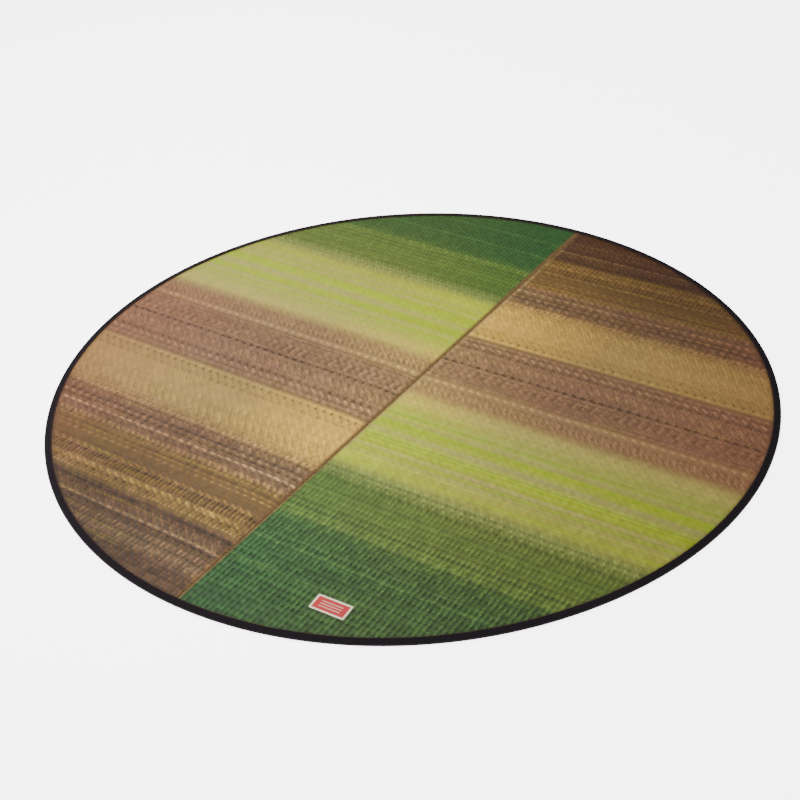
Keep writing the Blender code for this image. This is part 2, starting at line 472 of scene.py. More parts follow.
class Flow:
    """What comes out of a node. It adds, subtracts, multiplies and divides like a plain number."""

    def __init__(self, socket):
        self.socket = socket
        self.tree = socket.id_data

    def maths(self, operation, *others):
        return put(self.tree, "ShaderNodeMath", (self, *others), operation=operation)

    def __add__(self, other):
        return self.maths("ADD", other)

    def __sub__(self, other):
        return self.maths("SUBTRACT", other)

    def __rsub__(self, other):
        return put(self.tree, "ShaderNodeMath", (other, self), operation="SUBTRACT")

    def __mul__(self, other):
        return self.maths("MULTIPLY", other)

    def __truediv__(self, other):
        return self.maths("DIVIDE", other)


def fill(node, inputs):
    """Sets a node's sockets, by name or number: each to a plain value, or to what flows in from a node."""
    for key, value in inputs.items():
        if isinstance(value, Flow):
            node.id_data.links.new(value.socket, node.inputs[key])
        else:
            node.inputs[key].default_value = value


def put(tree, kind, inputs=(), out=0, **settings):
    """Adds a node and gives what comes out of it. inputs go by socket, or are in the sockets' order."""
    node = tree.nodes.new(kind)
    for name, value in settings.items():
        setattr(node, name, value)
    fill(node, inputs if isinstance(inputs, dict) else dict(enumerate(inputs)))
    return Flow(node.outputs[out])


def outputs_of(node):
    return {socket.name: Flow(socket) for socket in node.outputs}


def parts_of(vector):
    """A vector's x, y and z."""
    return outputs_of(put(vector.tree, "ShaderNodeSeparateXYZ", (vector,)).socket.node).values()


def scaled(tree, colour, factor):
    return put(tree, "ShaderNodeVectorMath", {0: colour, 3: factor}, operation="SCALE")


def blended(factor, first, second):
    """One colour turning to another. Either may be a plain colour."""
    first, second = (c if isinstance(c, Flow) else (*c, 1) for c in (first, second))
    return put(factor.tree, "ShaderNodeMix", {0: factor, 6: first, 7: second}, 2, data_type="RGBA")


def remapped(value, low, high, to_low, to_high, smooth=False):
    kind = "SMOOTHSTEP" if smooth else "LINEAR"
    ends = (value, low, high, to_low, to_high)
    return put(value.tree, "ShaderNodeMapRange", ends, interpolation_type=kind)


MOST_STOPS = 32  # that one colour ramp holds


def ramp(factor, stops, kind="LINEAR"):
    """Colours along a line, from rows of (place from 0 to 1, colour). A long chart takes several ramps."""
    if len(stops) > MOST_STOPS:
        half = len(stops) // 2
        past = factor.maths("GREATER_THAN", stops[half][0])
        return blended(past, ramp(factor, stops[: half + 1], kind), ramp(factor, stops[half:], kind))
    made = put(factor.tree, "ShaderNodeValToRGB", (factor,))
    colour_ramp = made.socket.node.color_ramp
    colour_ramp.interpolation = kind
    while len(colour_ramp.elements) < len(stops):
        colour_ramp.elements.new(1)
    for element, (place, colour) in zip(colour_ramp.elements, stops):
        element.position = place
        element.color = (*colour, 1)
    return made


def make_group(family, name, inputs, outputs):
    """An empty node group. inputs are (name, kind, default) and outputs are (name, kind)."""
    tree = bpy.data.node_groups.new(name, family + "NodeTree")
    for label, kind, default in inputs:
        socket = tree.interface.new_socket(label, in_out="INPUT", socket_type="NodeSocket" + kind)
        if default is not None:
            socket.default_value = default
    for label, kind in outputs:
        tree.interface.new_socket(label, in_out="OUTPUT", socket_type="NodeSocket" + kind)
    return tree, outputs_of(tree.nodes.new("NodeGroupInput")), tree.nodes.new("NodeGroupOutput")


def use_group(tree, group, **inputs):
    """The group's outputs by name. An underscore stands for a space in an input's name."""
    inputs = {name.replace("_", " "): value for name, value in inputs.items()}
    return outputs_of(put(tree, "ShaderNodeGroup", inputs, node_tree=group).socket.node)


def new_material(name):
    made = bpy.data.materials.new(name)
    made.use_nodes = True
    return made, made.node_tree, made.node_tree.nodes["Principled BSDF"]


def bumped(height, distance, strength):
    return put(height.tree, "ShaderNodeBump", {"Height": height, "Distance": distance, "Strength": strength})


# ---- shader groups

def rush_strand_group():
    """The cloth's weave: single rushes, their tints, slanting twill and an upright grid with pits."""
    sizes = {"Out": 0.0, "Along": 0.0, "Strand Width": STRAND, "Warp Pitch": WARP_PITCH, "Seed": 0.0}
    tree, given, result = make_group(
        "Shader",
        "rush strands",
        [(name, "Float", size) for name, size in sizes.items()],
        [(name, "Float") for name in ("Height", "Tint", "Streak", "Twill", "Grid", "Cell")],
    )
    out, along, seed = given["Out"], given["Along"], given["Seed"]
    count = along / given["Strand Width"]
    own = put(tree, "ShaderNodeTexWhiteNoise", {"W": count.maths("FLOOR") + seed}, noise_dimensions="1D")
    back = (count.maths("FRACT") * math.pi).maths("SINE")

    def noise_at(out_scale, along_scale, detail):
        place = put(tree, "ShaderNodeCombineXYZ", (out * out_scale, along * along_scale, seed))
        return put(tree, "ShaderNodeTexNoise", {"Vector": place, "Scale": 1.0, "Detail": detail})

    # hand-laid rushes drift a little from an even count
    drift = (noise_at(22.0, 60.0, 2.0) - 0.5) * 0.9
    warps = out / given["Warp Pitch"] + drift * 0.3
    rows = along / GRID_ROW + drift * 0.8
    # every strand goes under a warp a little further out than the last, which draws the slant
    slant = (warps * 0.5 - along / TWILL_RISE) * FULL_TURN
    twill = remapped(slant.maths("SINE"), -0.9, 0.7, 0.0, 1.0, smooth=True)
    upright = (warps * FULL_TURN).maths("SINE")
    level = (rows * FULL_TURN).maths("SINE")
    cell = put(tree, "ShaderNodeCombineXYZ", (warps.maths("ROUND"), rows.maths("ROUND"), seed))
    results = {
        "Height": back * (twill * 0.65 + 0.35),
        "Tint": own * 0.6 + noise_at(9.0, 476.0, 2.0) * 0.4,
        "Streak": noise_at(5.0, 130.0, 3.0),
        "Twill": twill,
        "Grid": remapped(upright + level * 0.7, -1.2, 0.9, 0.0, 1.0, smooth=True),
        "Cell": put(tree, "ShaderNodeTexWhiteNoise", {"Vector": cell}),
    }
    fill(result, results)
    return tree


def tape_weave_group():
    """Fine plain weave of a cotton tape or label, as a height and a tint."""
    tree, given, result = make_group(
        "Shader",
        "cotton weave",
        (("Vector", "Vector", (0, 0, 0)), ("Thread", "Float", 0.6 * MM)),
        (("Height", "Float"), ("Tint", "Float")),
    )
    x, y, _ = parts_of(given["Vector"])
    warp, weft = ((part / given["Thread"] * math.pi).maths("SINE").maths("ABSOLUTE") for part in (x, y))
    fluff = put(tree, "ShaderNodeTexNoise", {"Vector": given["Vector"], "Scale": 900.0, "Detail": 3.0})
    fill(result, {"Height": warp.maths("MAXIMUM", weft), "Tint": fluff})
    return tree


STRANDS = rush_strand_group()
COTTON = tape_weave_group()


# ---- materials

SOFT_JITTER = 9 * MM  # how far single rushes stray over a change of colour
STRAY_DYES = (("a8902c", 0.22), ("a87462", 0.16))  # odd rushes of other dyes, and how strongly they show
JOIN_PAINTED_SHADOW = {  # painted shadow in strips beside the join: dye, strength, and where each starts and ends
    -1: (("74522c", 0.8, 3 * MM, 11 * MM),),
    1: (("74522c", 0.75, 2 * MM, 8 * MM),),
}
SELVEDGE_PAINTED_HIGHLIGHT = ("c4aa6c", 0.35, 8 * MM, 15 * MM)  # painted highlight beyond it on the right, where the selvedge's rounded edge catches the light, outside the greens
RIM_BLUSH = ("96503a", 0.3, 0.5, 0.85)  # redder root ends out at the rim, in the browns
RUSSET_END = ("5a3014", 0.62, -780 * MM, -580 * MM)  # redder dye over the right panel's brown end
DARKER_END = (-780 * MM, -600 * MM, -0.3)  # and how much darker that end starts
RIGHT_RIM_PAINTED_SHADE = (100 * MM, 600 * MM, -0.22)  # stops of painted shade towards the right rim, from lime to green, for the light falling off that way
RIM_SHADE = -0.6  # stops of painted shade, where the rushes dip under the tape
TAPE_COVERS = 17 * MM  # of the rushes, in from the rim
RIM_SHADE_WIDE = 10 * MM  # and how far in from there the painted shade reaches
GREEN_FROM = 400 * MM  # no odd rushes beyond this
LIME_FROM = 60 * MM  # the redder root ends fade out from here
CLOTH_DEPTH = -0.38  # stops: woven rushes look deeper than loose ones, as light is lost between them
COURSE_SHARE = 1.0  # stops to half the ramp's height
STRAND_LIGHTS = (-0.16, 0.16)  # stops, from a darker strand to a lighter one
CELL_LIGHTS = (-0.3, 0.3)  # stops, from one crossing of the weave to another
TWILL_LIGHTS = (-0.32, 0.2)  # stops, from painted shade in the slant's hollows to its lighter ridges
GRID_LIGHTS = (-0.7, 0.5)  # stops, from the painted shade in the pits to the uprights


def chart_stops(rows):
    """Ramp stops from rows of (millimetres along the cloth, dye code or number)."""
    stops = []
    for along_mm, value in rows:
        place = (along_mm * MM - CHART_LOW) / (CHART_HIGH - CHART_LOW)
        stops.append((place, dye(value) if isinstance(value, str) else (value,) * 3))
    return stops


def cloth_coordinates(tree, side):
    """Out and along, from the piece's own place."""
    place = put(tree, "ShaderNodeTexCoord", out="Object")
    start = JOIN_FOOT + side * SELVEDGE_AWAY * JOIN_ACROSS
    shifted = put(tree, "ShaderNodeVectorMath", (place, (*start, 0)), operation="SUBTRACT")
    out, run = (
        put(tree, "ShaderNodeVectorMath", (shifted, (*row, 0)), "Value", operation="DOT_PRODUCT")
        for row in np.linalg.inv(np.column_stack([rush_way(side), JOIN_RUN]))
    )
    if side < 0:
        return out, run + (out / -DRAW_REACH).maths("EXPONENT") * JOIN_DRAW[side]
    back = run * -1.0
    first, share = CLOSER_BROWN
    brown = (first - back).maths("MAXIMUM", 0.0) * share
    first, share, most = CLOSER_GREEN
    green = remapped(back, first, first + most / share, 0.0, most)
    return out, back + CHART_SHIFT - (brown + green)


def stripes_over(colour, along, fading):
    """Lays the narrow stripes over the cloth's colour."""
    for stripe in STRIPES:
        away = (along - stripe.along_mm * MM).maths("ABSOLUTE")
        inner, outer = 0.4 * stripe.half_mm * MM, 1.3 * stripe.half_mm * MM
        band = remapped(away, inner, outer, stripe.strength, 0.0, smooth=True)
        colour = blended(band * fading, colour, dye(stripe.dye_code))
    return colour


def rush_colour(side, out, along, strands, charted, slightly):
    """The dyed cloth's colour: its chart, odd rushes and stripes, and where it is worn, paler or redder."""
    streak = strands["Streak"]
    inner, outer = (
        ramp(charted, chart_stops((band.along_mm, DYES[band.dye_name][place]) for band in CHART))
        for place in (0, 1)
    )
    # the outer colours also carry painted shade for the light falling off away from the join
    colour = blended(remapped(out, *OUTWARD_FADE, 0.0, 1.0), inner, outer)
    brown = remapped(along, GREEN_FROM - 60 * MM, GREEN_FROM, 1.0, 0.0)
    for sign, (code, strength) in zip((1, -1), STRAY_DYES):
        share = remapped(streak, 0.5 + sign * 0.04, 0.5 + sign * 0.2, 0.0, strength)
        colour = blended(share * brown, colour, dye(code))
    fading = remapped(streak, 0.36, 0.55, 0.75, 1.0) * remapped(out, 0.1, 0.8, 1.0, 0.9)
    colour = stripes_over(colour, slightly, fading)
    code, strength, first, last = RIM_BLUSH
    plain = brown * remapped(along, LIME_FROM, 2 * LIME_FROM, 1.0, 0.0)
    colour = blended(remapped(out, first, last, 0.0, strength) * plain, colour, dye(code))
    if side > 0:
        # painted highlight along the right selvedge
        code, strength, first, last = SELVEDGE_PAINTED_HIGHLIGHT
        colour = blended(remapped(out, first, last, strength, 0.0, smooth=True) * brown, colour, dye(code))
        code, strength, first, last = RUSSET_END
        colour = blended(remapped(along, first, last, strength, 0.0), colour, dye(code))
    # painted shadow along the join, darkest at the selvedges
    for code, strength, first, last in JOIN_PAINTED_SHADOW[side]:
        colour = blended(remapped(out, first, last, strength, 0.0, smooth=True), colour, dye(code))
    return colour


def rush_light(tree, side, out, along, strands, charted, slightly):
    """How many stops lighter or darker than its dye the cloth is at each place."""
    twill = ramp(charted, chart_stops((band.along_mm, band.twill) for band in CHART))
    grid = ramp(charted, chart_stops((band.along_mm, band.grid) for band in CHART))
    # how strongly the lights and darks show here
    depth = DEPTHS[side]
    showing = remapped(along, *BARK_TO_BROWN, depth.bark, depth.brown)
    showing = showing * remapped(out, *OUTWARD_DEPTH, 1.0, depth.outward)
    showing = remapped(along, *BROWN_TO_LIME, showing, depth.lime)
    showing = remapped(along, *LIME_TO_GREEN, showing, depth.green)
    showing = remapped(along, *GREEN_TO_DEEP, showing, depth.deep_green)
    # the light and dark of the figures, courses, single strands and both weaves; the dark figures, the
    # grid's pits and the twill's hollows are painted shade
    shown = put(tree, "ShaderNodeAttribute", out="Fac", attribute_name="shade")
    courses = chart_stops((along_mm, 0.5 + 0.5 * light / COURSE_SHARE) for along_mm, light in COURSES)
    course = ramp(remapped(slightly, CHART_LOW, CHART_HIGH, 0.0, 1.0), courses, "EASE")
    shown = shown + remapped(course, 0.0, 1.0, -COURSE_SHARE, COURSE_SHARE)
    shown = shown + remapped(strands["Tint"], 0.2, 0.8, *STRAND_LIGHTS)
    shown = shown + remapped(strands["Cell"], 0.0, 1.0, *CELL_LIGHTS) * (twill + grid + 0.15)
    shown = shown + remapped(strands["Twill"], 0.0, 1.0, *TWILL_LIGHTS) * twill
    shown = shown + remapped(strands["Grid"], 0.0, 1.0, *GRID_LIGHTS) * grid
    # painted shade where the rushes dip under the tape
    near_rim = put(tree, "ShaderNodeAttribute", out="Fac", attribute_name="near rim")
    stops = shown * showing + CLOTH_DEPTH + near_rim * RIM_SHADE
    if side < 0:
        return stops
    # painted shade for the light falling off towards the right rim
    rim_falloff_shade = remapped(out, *RIGHT_RIM_PAINTED_SHADE[:2], 0.0, RIGHT_RIM_PAINTED_SHADE[2])
    return stops + remapped(along, *DARKER_END, 0.0) + remapped(along, *BROWN_TO_LIME, 0.0, rim_falloff_shade)


def rush_material(name, side):
    """Dyed rush cloth. Figures read the same chart, made lighter or darker by their own shade."""
    made, tree, shader = new_material(name)
    out, along = cloth_coordinates(tree, side)
    strands = use_group(tree, STRANDS, Out=out, Along=along, Seed=17.0 + side)
    stray = (strands["Tint"] - 0.5) * SOFT_JITTER
    charted = remapped(along + stray, CHART_LOW, CHART_HIGH, 0.0, 1.0)
    slightly = along + stray * 0.3
    colour = rush_colour(side, out, along, strands, charted, slightly)
    stops = rush_light(tree, side, out, along, strands, charted, slightly)
    light = put(tree, "ShaderNodeMath", (2.0, stops), operation="POWER")
    finish = {
        "Base Color": scaled(tree, colour, light),
        "Roughness": remapped(strands["Tint"], 0.0, 1.0, 0.5, 0.7),
        "Specular IOR Level": 0.2,
        "Normal": bumped(strands["Height"], 0.5 * MM, 0.8),
    }
    fill(shader, finish)
    return made


def dyed_weave(tree, weave, colour, tints, threads):
    """A colour with the cotton's fluff in it, and painted shade in the gaps between its raised threads."""
    fluff = remapped(weave["Tint"], 0.3, 0.7, *tints)
    return scaled(tree, colour, fluff * remapped(weave["Height"], 0.0, 1.0, *threads))


def cotton_material(name, code, thread, bump=0.1, roughness=0.82, tint=0.2):
    """Woven or twisted cotton in one dye, with its threads and a little fluff."""
    made, tree, shader = new_material(name)
    weave = use_group(tree, COTTON, Vector=put(tree, "ShaderNodeTexCoord", out="Object"), Thread=thread)
    finish = {
        "Base Color": dyed_weave(tree, weave, dye(code), (1 - tint, 1 + tint), (0.8, 1.05)),
        "Roughness": roughness,
        "Specular IOR Level": 0.2,
        "Normal": bumped(weave["Height"], bump * MM, 0.7),
    }
    fill(shader, finish)
    return made


# ---- mesh helpers

def linked(name, mesh):
    made = bpy.data.objects.new(name, mesh)
    bpy.context.scene.collection.objects.link(made)
    return made


def new_object(name, vertices, faces, material, smooth=True):
    mesh = bpy.data.meshes.new(name)
    mesh.from_pydata(vertices, [], faces)
    mesh.materials.append(material)
    if smooth:
        mesh.shade_smooth()
    return linked(name, mesh)


def wave_noise(x, y, seed, count=9, longest=0.5, shortest=0.05):
    """A soft uneven surface, about -1 to 1, as a sum of seeded waves."""
    rng = np.random.default_rng(seed)
    total = np.zeros(np.broadcast(x, y).shape)
    weight = 0
    for i in range(count):
        length = longest * (shortest / longest) ** (i / max(count - 1, 1))
        angle, phase = rng.uniform(0, FULL_TURN, 2)
        amplitude = length**0.5
        total += amplitude * np.sin(FULL_TURN * (x * math.cos(angle) + y * math.sin(angle)) / length + phase)
        weight += amplitude
    return total / (weight * 0.5)


def tube_faces(rings, sides, closed=False):
    """Faces from each ring of points to the next, and from the last to the first where it is closed."""
    faces = []
    for i in range(rings if closed else rings - 1):
        a, b = i * sides, (i + 1) % rings * sides
        for k in range(sides):
            m = (k + 1) % sides
            faces.append((a + k, a + m, b + m, b + k))
    return faces


def face_outwards(mesh):
    work = bmesh.new()
    work.from_mesh(mesh)
    bmesh.ops.recalc_face_normals(work, faces=work.faces)
    work.to_mesh(mesh)
    work.free()


# ---- the woven panels

SHOULDER = ((0.0, 4.9), (0.5, 5.9), (1.4, 6.45))  # the rounded selvedge: out from its edge, and height, mm
BASE_COLUMNS = 9  # across the plain underside
WARP_RELIEF, ROW_RELIEF, SLANT_RELIEF, WAVE_RELIEF = 0.26, 0.16, 0.10, 0.22  # millimetres


def cloth_relief(side, out, run):
    """Height of the open cloth over its mean level: warp lines, rows of rushes, twill and soft waves."""
    along = along_from_run(side, run, out)
    columns = np.abs(np.sin(math.pi * out / WARP_PITCH)) ** 0.7 - 0.6
    rows = np.abs(np.sin(math.pi * along / (3 * ROW_STEP))) ** 0.7 - 0.6
    slant = np.cos(FULL_TURN * (out / FIGURE_PITCH - along / (4.6 * ROW_STEP)))
    waves = wave_noise(out, run, seed=40 + side)
    relief = WARP_RELIEF * columns + ROW_RELIEF * rows + SLANT_RELIEF * slant + WAVE_RELIEF * waves
    return relief * MM


def panel_object(name, side, material):
    """One woven panel as a closed sheet: relief on top, plain below, pressed thin under the tape."""
    low, high = run_limits(side, EDGE_INSET)
    count = int(round((high - low) / ROW_STEP))
    runs = np.linspace(low, high, count + 1)
    reach = reach_out(side, runs, EDGE_INSET)
    reach[[0, -1]] = 0
    step = WARP_PITCH / COLUMN_STEPS
    lead = np.array([place * MM for place, _ in SHOULDER])
    columns = np.concatenate([lead, np.arange(1, int(reach.max() / step) + 2) * step])
    vertices, top, bottom = [], [], []
    for run, furthest in zip(runs, reach):
        inside = columns[columns < furthest - 0.4 * step]
        outs = np.append(inside, furthest)
        plan = cloth_point(side, outs, run)
        height = PANEL_TOP + cloth_relief(side, outs, run)
        for i, (_, shoulder) in enumerate(SHOULDER[: len(inside)]):
            height[i] = shoulder * MM
        press = 1 - smooth_step(inset_at(plan), PRESSED_INSET, FLAT_INSET)
        height = height * (1 - press) + np.minimum(PRESSED_HIGH, height + 1 * MM) * press
        row = np.arange(len(vertices), len(vertices) + len(outs))
        top.append(np.append(row, np.full(len(columns) + 1 - len(row), row[-1])))
        vertices += np.column_stack([plan, height]).tolist()
    for run, furthest in zip(runs, reach):
        flat = max(furthest - 1.2 * FLAT_INSET, 0)
        outs = [flat * i / (BASE_COLUMNS - 2) for i in range(BASE_COLUMNS - 1)]
        outs = np.array(outs + [flat + (furthest - flat) * share for share in (0.5, 1.0)])
        plan = cloth_point(side, outs, run)
        lifted = PRESSED_LOW * (1 - smooth_step(inset_at(plan), PRESSED_INSET, FLAT_INSET))
        points = np.column_stack([plan, lifted]).tolist()
        different = 1 if furthest == 0 else len(outs)
        bottom.append(len(vertices) + np.minimum(np.arange(len(outs)), different - 1))
        vertices += points[:different]
    faces = []

    def strip(rows_a, rows_b):
        """Faces between two grids' columns, with repeated corners dropped."""
        for corners in zip(rows_a[:-1], rows_a[1:], rows_b[1:], rows_b[:-1]):
            corners = list(dict.fromkeys(int(corner) for corner in corners))
            if len(corners) > 2:
                faces.append(corners[::side])

    for r in range(count):
        strip(top[r], top[r + 1])
        strip(bottom[r + 1], bottom[r])
        strip((bottom[r][0], top[r][0]), (bottom[r + 1][0], top[r + 1][0]))
        strip((top[r][-1], bottom[r][-1]), (top[r + 1][-1], bottom[r + 1][-1]))
    made = new_object(name, vertices, faces, material)
    # painted shade on the rushes where they dip under the tape
    shade = 1 - smooth_step(inset_at(np.array(vertices)), TAPE_COVERS, TAPE_COVERS + RIM_SHADE_WIDE)
    made.data.attributes.new("near rim", "FLOAT", "POINT").data.foreach_set("value", shade)
    made.data.validate()
    return made


# ---- raised figures

def geometry_group(name, sizes):
    """A geometry group with points and named sizes coming in, and its mesh going out."""
    inputs = [("Geometry", "Geometry", None), *sizes, ("Material", "Material", None)]
    return make_group("Geometry", name, inputs, [("Geometry", "Geometry")])


def named(tree, attribute):
    return put(tree, "GeometryNodeInputNamedAttribute", {"Name": attribute}, data_type="FLOAT")


def laid(tree, given, piece, size):
    """The piece at every point, turned by the point's own turn."""
    turn = put(tree, "ShaderNodeCombineXYZ", {2: named(tree, "turn")})
    inputs = {"Points": given["Geometry"], "Instance": piece, "Rotation": turn, "Scale": size}
    return put(tree, "GeometryNodeInstanceOnPoints", inputs)


def realized(geometry):
    return put(geometry.tree, "GeometryNodeRealizeInstances", (geometry,))


def finish_group(tree, given, result, pieces):
    """Makes the laid pieces one real mesh in the given material."""
    inputs = {"Geometry": realized(pieces), "Material": given["Material"]}
    fill(result, {"Geometry": put(tree, "GeometryNodeSetMaterial", inputs)})
    return tree


def pillow_tree():
    """Lays a low closed pillow of rushes at each point, with the point's own sizes, turn and lift."""
    sizes = (
        ("Corners", "Int", 8),
        ("Sunk Edge", "Float", 0.3 * MM),
        ("Shoulder Taper", "Float", 0.36),
        ("Fullness", "Float", 0.6),
    )
    tree, given, result = geometry_group("laid figures", sizes)
    shape = {"Vertices": given["Corners"], "Side Segments": 2, "Radius": 0.5, "Depth": 1.0}
    drum = put(tree, "GeometryNodeMeshCylinder", shape, fill_type="NGON")
    eased = put(tree, "GeometryNodeTransform", {"Geometry": drum, "Rotation": (0, 0, math.pi / 8)})
    x, y, z = parts_of(put(tree, "GeometryNodeInputPosition"))
    height = z + 0.5
    narrowing = height * height * given["Shoulder Taper"]
    plan = []
    for part in (x, y):
        full = (part.maths("ABSOLUTE") * 2.0).maths("POWER", given["Fullness"])
        plan.append(part.maths("SIGN") * (full * 0.5) * (1.0 - narrowing))
    place = put(tree, "ShaderNodeCombineXYZ", (*plan, height.maths("POWER", 0.75)))
    pillow = put(tree, "GeometryNodeSetPosition", {"Geometry": eased, "Position": place})
    pillow = put(tree, "GeometryNodeSetShadeSmooth", {"Geometry": pillow})
    lift = named(tree, "lift") + given["Sunk Edge"]
    size = put(tree, "ShaderNodeCombineXYZ", (named(tree, "long"), named(tree, "tall"), lift))
    return finish_group(tree, given, result, laid(tree, given, pillow, size))


PILLOWS = pillow_tree()
LABEL_LOW, LABEL_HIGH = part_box("label")
LABEL_CENTRE = (LABEL_LOW + LABEL_HIGH) / 2


def grown(name, places, values, tree, material, **inputs):
    """Runs a geometry group on points that carry named numbers, and keeps its plain mesh."""
    cloud = bpy.data.meshes.new(name)
    cloud.from_pydata(places.tolist(), [], [])
    for label, numbers in values.items():
        layer = cloud.attributes.new(label, "FLOAT", "POINT")
        layer.data.foreach_set("value", np.asarray(numbers, np.float32))
    points = linked(name, cloud)
    modifier = points.modifiers.new("grow", "NODES")
    modifier.node_group = tree
    sockets = {s.name: s.identifier for s in tree.interface.items_tree if s.in_out == "INPUT"}
    for label, value in {"Material": material, **inputs}.items():
        modifier[sockets[label]] = value
    bpy.context.view_layer.update()
    ready = points.evaluated_get(bpy.context.evaluated_depsgraph_get())
    mesh = bpy.data.meshes.new_from_object(ready)
    bpy.data.objects.remove(points)
    bpy.data.meshes.remove(cloud)
    mesh.name = name
    return linked(name, mesh)


def under_label(plan, margin=3 * MM):
    inside = (plan > np.array(LABEL_LOW)[:2] - margin) & (plan < np.array(LABEL_HIGH)[:2] + margin)
    return inside.all(-1)


def figures_object(name, side, material):
    """All the raised figures on one panel, row by row. Those with a negative shade are low dark pads of
    painted shade, standing for the pits between floats.
    """
    rng = np.random.default_rng(300 + side)
    way = rush_way(side)
    rows = []
    for figure in FIGURES:
        first, last, step = figure.at if isinstance(figure.at, tuple) else (figure.at, figure.at, 1)
        pitch, reach = figure.pitch * WARP_PITCH, figure.length * MM / 2
        turn = math.atan2(way[1], way[0]) - math.radians(figure.tilt)
        sizes = np.array([[figure.length], [figure.height], [figure.lift]]) * MM
        for i, along_mm in enumerate(np.arange(first, last + 0.01, step)):
            outs = np.arange((0.5 + figure.stagger * (i + 1)) % 1 * pitch, 0.9, pitch)
            outs = outs + rng.normal(0, PITCH_JITTER, len(outs)) * pitch
            runs = run_from_along(side, along_mm * MM, outs) + rng.normal(0, ROW_JITTER, len(outs))
            plan = cloth_point(side, outs, runs)
            keep = (inset_at(plan) > TAPE_WIDTH + reach * 0.7) & (outs > reach + 1 * MM) & ~under_label(plan)
            count = int(keep.sum())
            if not count:
                continue
            vary = rng.normal(1, SIZE_JITTER, (4, count)).clip(0.6, 1.4)
            turns = turn + rng.normal(0, TURN_JITTER, count)
            low = np.full(count, PANEL_TOP - 0.3 * MM)
            rows.append(np.vstack([plan[keep].T, low, sizes * vary[:3], turns, figure.shade * vary[3]]))
    table = np.concatenate(rows, axis=1)
    values = dict(zip(("long", "tall", "lift", "turn", "shade"), table[3:]))
    return grown(name, table[:3].T, values, PILLOWS, material)


# ---- the binding

TAPE_STATIONS = 900  # points round the rim
TAPE_CLOTH = 1.2 * MM  # its thickness
TAPE_WANDER = 0.35 * MM  # its free edge strays this far in or out
TAPE_RIPPLE = 0.22 * MM  # and this far up or down
FREE_INSET = 12 * MM  # only the tape beyond this strays sideways
RIM_HEIGHT = CAD_BOX[1].z - CAD_BOX[0].z


def tape_section():
    """The folded tape's section, once round, as (inset, height, how freely that point ripples)."""
    radius, fold = RIM_HEIGHT / 2, TAPE_CLOTH / 2
    inner = radius - TAPE_CLOTH
    section = []
    for step in range(13):
        turn = math.pi * step / 12
        section.append((radius - radius * math.sin(turn), radius - radius * math.cos(turn), 0.3))
    for inset in (7.5, 11, 14, 16):
        section.append((inset * MM, RIM_HEIGHT - 0.02 * (inset - 4.2) * MM, 1.0))
    for step in range(1, 5):
        turn = math.pi * step / 5
        height = RIM_HEIGHT - fold - 0.28 * MM + fold * math.cos(turn)
        section.append((TAPE_WIDTH - fold + fold * math.sin(turn), height, 1.0))
    for inset in (14, 10):
        section.append((inset * MM, RIM_HEIGHT - TAPE_CLOTH - 0.2 * MM, 0.6))
    for step in range(7):
        turn = math.pi - math.pi * step / 6
        section.append((radius - inner * math.sin(turn), radius - inner * math.cos(turn), 0.0))
    for inset, height in ((10, TAPE_CLOTH), (TAPE_WIDTH / MM, TAPE_CLOTH), (TAPE_WIDTH / MM, 0), (10, 0)):
        section.append((inset * MM, height, 0.0))
    return section


def tape_object(name, material):
    """The binding: one folded tape carried round the rim, rippling a little along its free edge."""
    section = tape_section()
    angles = np.arange(TAPE_STATIONS) * FULL_TURN / TAPE_STATIONS
    x, y = np.cos(angles), np.sin(angles)
    ripple = wave_noise(x * 0.88, y * 0.88, seed=5, count=12, longest=0.4, shortest=0.03)
    wander = wave_noise(x * 0.88, y * 0.88, seed=6, count=12, longest=0.5, shortest=0.04)
    vertices = []
    for inset, height, loose in section:
        reach = rim_radius(angles) - inset + loose * wander * TAPE_WANDER * (inset > FREE_INSET)
        rise = np.maximum(height + loose * ripple * TAPE_RIPPLE, 0.0)
        vertices += np.column_stack([reach * x, reach * y, rise]).tolist()
    return new_object(name, vertices, tube_faces(len(section), TAPE_STATIONS, closed=True), material)


# ---- stitches

EDGE_STITCH_PITCH = 4.6 * MM
EDGE_STITCH_LENGTH = 3.4 * MM
EDGE_STITCH_INSET = TAPE_WIDTH - 1.4 * MM
LACE_PITCH = 5.85 * MM
LACE_LENGTH = 8.5 * MM
LACE_SLANT = math.radians(58)  # from the join


def stitch_tree():
    """Lays a stitch at each point: a short thread, arched up from the cloth and dipping at both ends."""
    sizes = (("Arch", "Float", 0.5), ("Thickness", "Float", 0.8 * MM))
    tree, given, result = geometry_group("laid stitches", sizes)
    ends = {"Resolution": 5, "Start": (-0.5, 0, 0), "Middle": (0, 0, 1), "End": (0.5, 0, 0)}
    line = put(tree, "GeometryNodeCurveQuadraticBezier", ends)
    size = put(tree, "ShaderNodeCombineXYZ", (named(tree, "long"), 1.0, given["Arch"] * given["Thickness"]))
    round_section = {"Resolution": 6, "Radius": given["Thickness"] * 0.5}
    ring = put(tree, "GeometryNodeCurvePrimitiveCircle", round_section)
    lines = realized(laid(tree, given, line, size))
    thread = {"Curve": lines, "Profile Curve": ring, "Fill Caps": True}
    mesh = put(tree, "GeometryNodeCurveToMesh", thread)
    return finish_group(tree, given, result, put(tree, "GeometryNodeSetShadeSmooth", {"Geometry": mesh}))


STITCHES = stitch_tree()


